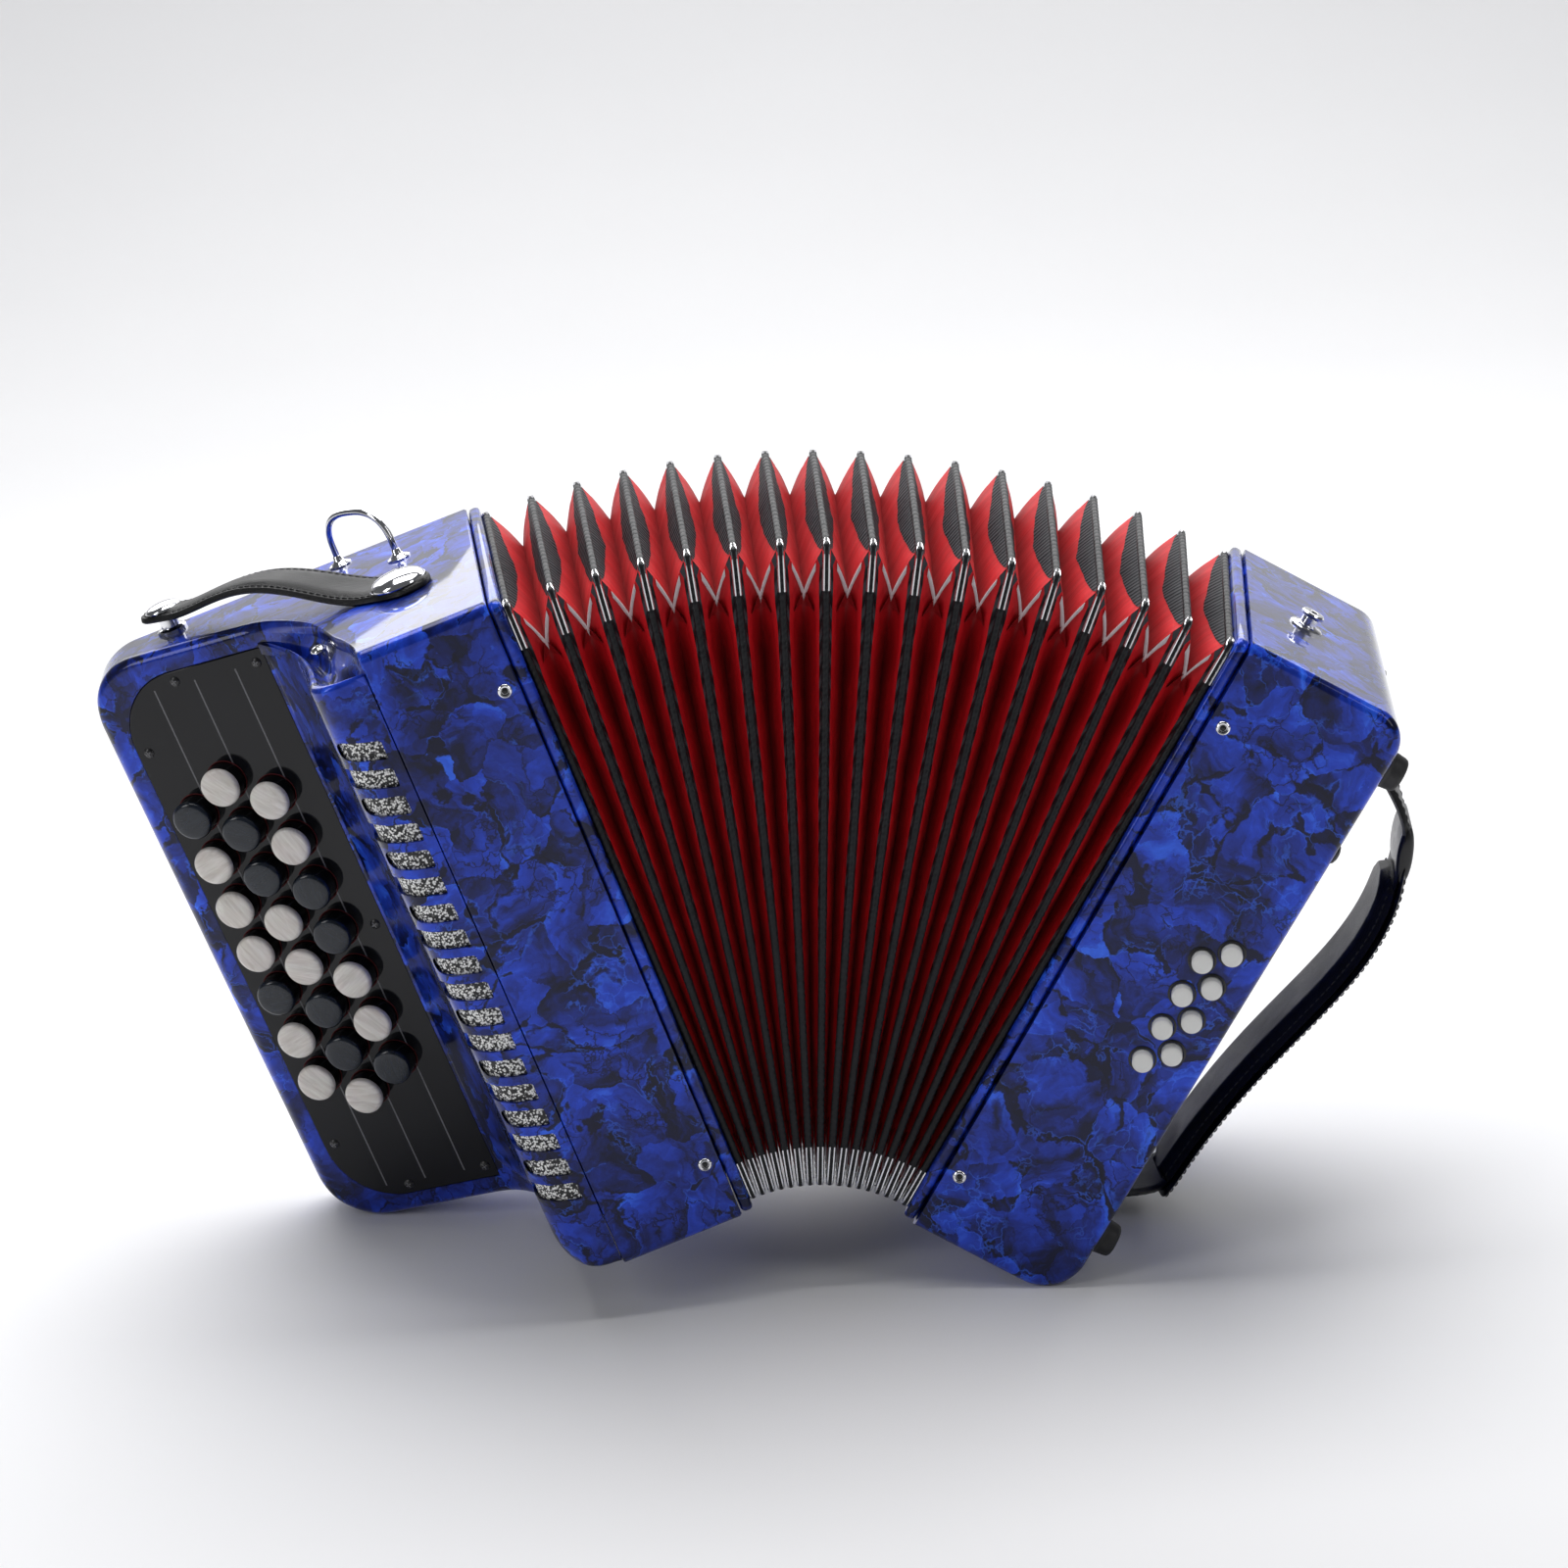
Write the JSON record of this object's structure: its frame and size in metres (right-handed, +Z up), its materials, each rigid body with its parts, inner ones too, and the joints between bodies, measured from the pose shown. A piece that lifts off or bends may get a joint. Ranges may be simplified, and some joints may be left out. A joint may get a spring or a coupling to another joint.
{
  "type": "button accordion",
  "caption": "Diatonic button accordion with treble and bass button boards, folding bellows, grille, straps and rubber feet, standing half open.",
  "frame": {"origin": "centre of the box of the standing accordion, on the floor plane", "axes": "+Z up, +X from the treble side to the bass side, +Y from the grille front to the player side"},
  "size_m": [0.5579, 0.1916, 0.3324],
  "materials": {
    "blue_pearl": "glossy mother-of-pearl celluloid, deep blue",
    "glitter_cloth": "black and silver glitter grille cloth",
    "black_board": "glossy black",
    "pearl_button": "pearly white cap",
    "dark_button": "dark blue-grey cap",
    "bellows_red": "red bellows cloth with black tape on the ridges",
    "wood": "bare wood",
    "chrome": "polished",
    "black_leather": "black, stitched",
    "white_button": "white",
    "black_plastic": "black",
    "black_rubber": "black rubber"
  },
  "bodies": {
    "treble": {"treble_casing": "blue_pearl", "grille_cover": "blue_pearl", "grille_cloth": "glitter_cloth", "fingerboard": "black_board", "treble_bellows_frame": "blue_pearl", "treble_soundboard": "wood", "treble_fixings": "chrome", "bellows_strap": "black_leather"},
    "bass": {"bass_casing": "blue_pearl", "bass_bellows_frame": "blue_pearl", "bass_soundboard": "wood", "bass_fixings": "chrome", "hand_strap": "black_leather", "bass_feet": "black_rubber"},
    "fold_01": {"bellows_fold_01": "bellows_red"},
    "fold_02": {"bellows_fold_02": "bellows_red"},
    "fold_03": {"bellows_fold_03": "bellows_red"},
    "fold_04": {"bellows_fold_04": "bellows_red"},
    "fold_05": {"bellows_fold_05": "bellows_red"},
    "fold_06": {"bellows_fold_06": "bellows_red"},
    "fold_07": {"bellows_fold_07": "bellows_red"},
    "fold_08": {"bellows_fold_08": "bellows_red"},
    "fold_09": {"bellows_fold_09": "bellows_red"},
    "fold_10": {"bellows_fold_10": "bellows_red"},
    "fold_11": {"bellows_fold_11": "bellows_red"},
    "fold_12": {"bellows_fold_12": "bellows_red"},
    "fold_13": {"bellows_fold_13": "bellows_red"},
    "fold_14": {"bellows_fold_14": "bellows_red"},
    "fold_15": {"bellows_fold_15": "bellows_red"},
    "treble_button_01_body": {"treble_button_01": "dark_button"},
    "treble_button_02_body": {"treble_button_02": "pearl_button"},
    "treble_button_03_body": {"treble_button_03": "pearl_button"},
    "treble_button_04_body": {"treble_button_04": "pearl_button"},
    "treble_button_05_body": {"treble_button_05": "dark_button"},
    "treble_button_06_body": {"treble_button_06": "pearl_button"},
    "treble_button_07_body": {"treble_button_07": "pearl_button"},
    "treble_button_08_body": {"treble_button_08": "pearl_button"},
    "treble_button_09_body": {"treble_button_09": "dark_button"},
    "treble_button_10_body": {"treble_button_10": "dark_button"},
    "treble_button_11_body": {"treble_button_11": "pearl_button"},
    "treble_button_12_body": {"treble_button_12": "pearl_button"},
    "treble_button_13_body": {"treble_button_13": "dark_button"},
    "treble_button_14_body": {"treble_button_14": "dark_button"},
    "treble_button_15_body": {"treble_button_15": "pearl_button"},
    "treble_button_16_body": {"treble_button_16": "pearl_button"},
    "treble_button_17_body": {"treble_button_17": "pearl_button"},
    "treble_button_18_body": {"treble_button_18": "dark_button"},
    "treble_button_19_body": {"treble_button_19": "dark_button"},
    "treble_button_20_body": {"treble_button_20": "pearl_button"},
    "treble_button_21_body": {"treble_button_21": "pearl_button"},
    "treble_button_22_body": {"treble_button_22": "dark_button"},
    "bass_button_1_body": {"bass_button_1": "white_button"},
    "bass_button_2_body": {"bass_button_2": "white_button"},
    "bass_button_3_body": {"bass_button_3": "white_button"},
    "bass_button_4_body": {"bass_button_4": "white_button"},
    "bass_button_5_body": {"bass_button_5": "white_button"},
    "bass_button_6_body": {"bass_button_6": "white_button"},
    "bass_button_7_body": {"bass_button_7": "white_button"},
    "bass_button_8_body": {"bass_button_8": "white_button"},
    "air_button_body": {"air_button": "black_plastic"}
  },
  "joints": [
    {"name": "bellows_open", "type": "hinge", "parent": "treble", "child": "bass", "pos_m": [0.01667, 0.0435, 0.01743], "axis": [-0.0381, 0.9575, -0.286], "range_deg": [-49.3, 8]},
    {"name": "fold_01_turn", "type": "hinge", "parent": "treble", "child": "fold_01", "pos_m": [-0.01295, 0.04113, 0.01345], "axis": [-0.0381, 0.9575, -0.286], "range_deg": [-3.28, 0.7]},
    {"name": "fold_02_turn", "type": "hinge", "parent": "treble", "child": "fold_02", "pos_m": [-0.01105, 0.04136, 0.01395], "axis": [-0.0381, 0.9575, -0.286], "range_deg": [-6.36, 1.2]},
    {"name": "fold_03_turn", "type": "hinge", "parent": "treble", "child": "fold_03", "pos_m": [-0.00914, 0.04157, 0.01441], "axis": [-0.0381, 0.9575, -0.286], "range_deg": [-9.44, 1.7]},
    {"name": "fold_04_turn", "type": "hinge", "parent": "treble", "child": "fold_04", "pos_m": [-0.00722, 0.04178, 0.01484], "axis": [-0.0381, 0.9575, -0.286], "range_deg": [-12.53, 2.2]},
    {"name": "fold_05_turn", "type": "hinge", "parent": "treble", "child": "fold_05", "pos_m": [-0.00529, 0.04197, 0.01524], "axis": [-0.0381, 0.9575, -0.286], "range_deg": [-15.61, 2.7]},
    {"name": "fold_06_turn", "type": "hinge", "parent": "treble", "child": "fold_06", "pos_m": [-0.00335, 0.04216, 0.0156], "axis": [-0.0381, 0.9575, -0.286], "range_deg": [-18.69, 3.2]},
    {"name": "fold_07_turn", "type": "hinge", "parent": "treble", "child": "fold_07", "pos_m": [-0.0014, 0.04234, 0.01594], "axis": [-0.0381, 0.9575, -0.286], "range_deg": [-21.77, 3.7]},
    {"name": "fold_08_turn", "type": "hinge", "parent": "treble", "child": "fold_08", "pos_m": [0.00057, 0.0425, 0.01624], "axis": [-0.0381, 0.9575, -0.286], "range_deg": [-24.85, 4.2]},
    {"name": "fold_09_turn", "type": "hinge", "parent": "treble", "child": "fold_09", "pos_m": [0.00254, 0.04266, 0.0165], "axis": [-0.0381, 0.9575, -0.286], "range_deg": [-27.93, 4.7]},
    {"name": "fold_10_turn", "type": "hinge", "parent": "treble", "child": "fold_10", "pos_m": [0.00453, 0.04281, 0.01674], "axis": [-0.0381, 0.9575, -0.286], "range_deg": [-31.01, 5.2]},
    {"name": "fold_11_turn", "type": "hinge", "parent": "treble", "child": "fold_11", "pos_m": [0.00652, 0.04295, 0.01694], "axis": [-0.0381, 0.9575, -0.286], "range_deg": [-34.09, 5.7]},
    {"name": "fold_12_turn", "type": "hinge", "parent": "treble", "child": "fold_12", "pos_m": [0.00853, 0.04308, 0.0171], "axis": [-0.0381, 0.9575, -0.286], "range_deg": [-37.17, 6.2]},
    {"name": "fold_13_turn", "type": "hinge", "parent": "treble", "child": "fold_13", "pos_m": [0.01055, 0.0432, 0.01723], "axis": [-0.0381, 0.9575, -0.286], "range_deg": [-40.26, 6.7]},
    {"name": "fold_14_turn", "type": "hinge", "parent": "treble", "child": "fold_14", "pos_m": [0.01258, 0.04331, 0.01733], "axis": [-0.0381, 0.9575, -0.286], "range_deg": [-43.34, 7.2]},
    {"name": "fold_15_turn", "type": "hinge", "parent": "treble", "child": "fold_15", "pos_m": [0.01461, 0.04341, 0.0174], "axis": [-0.0381, 0.9575, -0.286], "range_deg": [-46.42, 7.7]},
    {"name": "treble_button_01_press", "type": "slide", "parent": "treble", "child": "treble_button_01_body", "axis": [0.2413, 0.9603, 0.1399], "range_m": [0, 0.004], "stiffness_N_per_m": 200, "springref_m": -0.002},
    {"name": "treble_button_02_press", "type": "slide", "parent": "treble", "child": "treble_button_02_body", "axis": [0.2413, 0.9603, 0.1399], "range_m": [0, 0.004], "stiffness_N_per_m": 200, "springref_m": -0.002},
    {"name": "treble_button_03_press", "type": "slide", "parent": "treble", "child": "treble_button_03_body", "axis": [0.2413, 0.9603, 0.1399], "range_m": [0, 0.004], "stiffness_N_per_m": 200, "springref_m": -0.002},
    {"name": "treble_button_04_press", "type": "slide", "parent": "treble", "child": "treble_button_04_body", "axis": [0.2413, 0.9603, 0.1399], "range_m": [0, 0.004], "stiffness_N_per_m": 200, "springref_m": -0.002},
    {"name": "treble_button_05_press", "type": "slide", "parent": "treble", "child": "treble_button_05_body", "axis": [0.2413, 0.9603, 0.1399], "range_m": [0, 0.004], "stiffness_N_per_m": 200, "springref_m": -0.002},
    {"name": "treble_button_06_press", "type": "slide", "parent": "treble", "child": "treble_button_06_body", "axis": [0.2413, 0.9603, 0.1399], "range_m": [0, 0.004], "stiffness_N_per_m": 200, "springref_m": -0.002},
    {"name": "treble_button_07_press", "type": "slide", "parent": "treble", "child": "treble_button_07_body", "axis": [0.2413, 0.9603, 0.1399], "range_m": [0, 0.004], "stiffness_N_per_m": 200, "springref_m": -0.002},
    {"name": "treble_button_08_press", "type": "slide", "parent": "treble", "child": "treble_button_08_body", "axis": [0.2413, 0.9603, 0.1399], "range_m": [0, 0.004], "stiffness_N_per_m": 200, "springref_m": -0.002},
    {"name": "treble_button_09_press", "type": "slide", "parent": "treble", "child": "treble_button_09_body", "axis": [0.2413, 0.9603, 0.1399], "range_m": [0, 0.004], "stiffness_N_per_m": 200, "springref_m": -0.002},
    {"name": "treble_button_10_press", "type": "slide", "parent": "treble", "child": "treble_button_10_body", "axis": [0.2413, 0.9603, 0.1399], "range_m": [0, 0.004], "stiffness_N_per_m": 200, "springref_m": -0.002},
    {"name": "treble_button_11_press", "type": "slide", "parent": "treble", "child": "treble_button_11_body", "axis": [0.2413, 0.9603, 0.1399], "range_m": [0, 0.004], "stiffness_N_per_m": 200, "springref_m": -0.002},
    {"name": "treble_button_12_press", "type": "slide", "parent": "treble", "child": "treble_button_12_body", "axis": [0.2413, 0.9603, 0.1399], "range_m": [0, 0.004], "stiffness_N_per_m": 200, "springref_m": -0.002},
    {"name": "treble_button_13_press", "type": "slide", "parent": "treble", "child": "treble_button_13_body", "axis": [0.2413, 0.9603, 0.1399], "range_m": [0, 0.004], "stiffness_N_per_m": 200, "springref_m": -0.002},
    {"name": "treble_button_14_press", "type": "slide", "parent": "treble", "child": "treble_button_14_body", "axis": [0.2413, 0.9603, 0.1399], "range_m": [0, 0.004], "stiffness_N_per_m": 200, "springref_m": -0.002},
    {"name": "treble_button_15_press", "type": "slide", "parent": "treble", "child": "treble_button_15_body", "axis": [0.2413, 0.9603, 0.1399], "range_m": [0, 0.004], "stiffness_N_per_m": 200, "springref_m": -0.002},
    {"name": "treble_button_16_press", "type": "slide", "parent": "treble", "child": "treble_button_16_body", "axis": [0.2413, 0.9603, 0.1399], "range_m": [0, 0.004], "stiffness_N_per_m": 200, "springref_m": -0.002},
    {"name": "treble_button_17_press", "type": "slide", "parent": "treble", "child": "treble_button_17_body", "axis": [0.2413, 0.9603, 0.1399], "range_m": [0, 0.004], "stiffness_N_per_m": 200, "springref_m": -0.002},
    {"name": "treble_button_18_press", "type": "slide", "parent": "treble", "child": "treble_button_18_body", "axis": [0.2413, 0.9603, 0.1399], "range_m": [0, 0.004], "stiffness_N_per_m": 200, "springref_m": -0.002},
    {"name": "treble_button_19_press", "type": "slide", "parent": "treble", "child": "treble_button_19_body", "axis": [0.2413, 0.9603, 0.1399], "range_m": [0, 0.004], "stiffness_N_per_m": 200, "springref_m": -0.002},
    {"name": "treble_button_20_press", "type": "slide", "parent": "treble", "child": "treble_button_20_body", "axis": [0.2413, 0.9603, 0.1399], "range_m": [0, 0.004], "stiffness_N_per_m": 200, "springref_m": -0.002},
    {"name": "treble_button_21_press", "type": "slide", "parent": "treble", "child": "treble_button_21_body", "axis": [0.2413, 0.9603, 0.1399], "range_m": [0, 0.004], "stiffness_N_per_m": 200, "springref_m": -0.002},
    {"name": "treble_button_22_press", "type": "slide", "parent": "treble", "child": "treble_button_22_body", "axis": [0.2413, 0.9603, 0.1399], "range_m": [0, 0.004], "stiffness_N_per_m": 200, "springref_m": -0.002},
    {"name": "bass_button_1_press", "type": "slide", "parent": "bass", "child": "bass_button_1_body", "axis": [0.1405, 0.9901, 0], "range_m": [0, 0.004], "stiffness_N_per_m": 200, "springref_m": -0.002},
    {"name": "bass_button_2_press", "type": "slide", "parent": "bass", "child": "bass_button_2_body", "axis": [0.1405, 0.9901, 0], "range_m": [0, 0.004], "stiffness_N_per_m": 200, "springref_m": -0.002},
    {"name": "bass_button_3_press", "type": "slide", "parent": "bass", "child": "bass_button_3_body", "axis": [0.1405, 0.9901, 0], "range_m": [0, 0.004], "stiffness_N_per_m": 200, "springref_m": -0.002},
    {"name": "bass_button_4_press", "type": "slide", "parent": "bass", "child": "bass_button_4_body", "axis": [0.1405, 0.9901, 0], "range_m": [0, 0.004], "stiffness_N_per_m": 200, "springref_m": -0.002},
    {"name": "bass_button_5_press", "type": "slide", "parent": "bass", "child": "bass_button_5_body", "axis": [0.1405, 0.9901, 0], "range_m": [0, 0.004], "stiffness_N_per_m": 200, "springref_m": -0.002},
    {"name": "bass_button_6_press", "type": "slide", "parent": "bass", "child": "bass_button_6_body", "axis": [0.1405, 0.9901, 0], "range_m": [0, 0.004], "stiffness_N_per_m": 200, "springref_m": -0.002},
    {"name": "bass_button_7_press", "type": "slide", "parent": "bass", "child": "bass_button_7_body", "axis": [0.1405, 0.9901, 0], "range_m": [0, 0.004], "stiffness_N_per_m": 200, "springref_m": -0.002},
    {"name": "bass_button_8_press", "type": "slide", "parent": "bass", "child": "bass_button_8_body", "axis": [0.1405, 0.9901, 0], "range_m": [0, 0.004], "stiffness_N_per_m": 200, "springref_m": -0.002},
    {"name": "air_button_press", "type": "slide", "parent": "bass", "child": "air_button_body", "axis": [-0.8482, 0.1203, 0.5159], "range_m": [0, 0.004], "stiffness_N_per_m": 200, "springref_m": -0.002}
  ],
  "couplings": [
    {"joint": "fold_01_turn", "follows": "bellows_open", "ratio": 0.0625},
    {"joint": "fold_02_turn", "follows": "bellows_open", "ratio": 0.125},
    {"joint": "fold_03_turn", "follows": "bellows_open", "ratio": 0.1875},
    {"joint": "fold_04_turn", "follows": "bellows_open", "ratio": 0.25},
    {"joint": "fold_05_turn", "follows": "bellows_open", "ratio": 0.3125},
    {"joint": "fold_06_turn", "follows": "bellows_open", "ratio": 0.375},
    {"joint": "fold_07_turn", "follows": "bellows_open", "ratio": 0.4375},
    {"joint": "fold_08_turn", "follows": "bellows_open", "ratio": 0.5},
    {"joint": "fold_09_turn", "follows": "bellows_open", "ratio": 0.5625},
    {"joint": "fold_10_turn", "follows": "bellows_open", "ratio": 0.625},
    {"joint": "fold_11_turn", "follows": "bellows_open", "ratio": 0.6875},
    {"joint": "fold_12_turn", "follows": "bellows_open", "ratio": 0.75},
    {"joint": "fold_13_turn", "follows": "bellows_open", "ratio": 0.8125},
    {"joint": "fold_14_turn", "follows": "bellows_open", "ratio": 0.875},
    {"joint": "fold_15_turn", "follows": "bellows_open", "ratio": 0.9375}
  ]
}
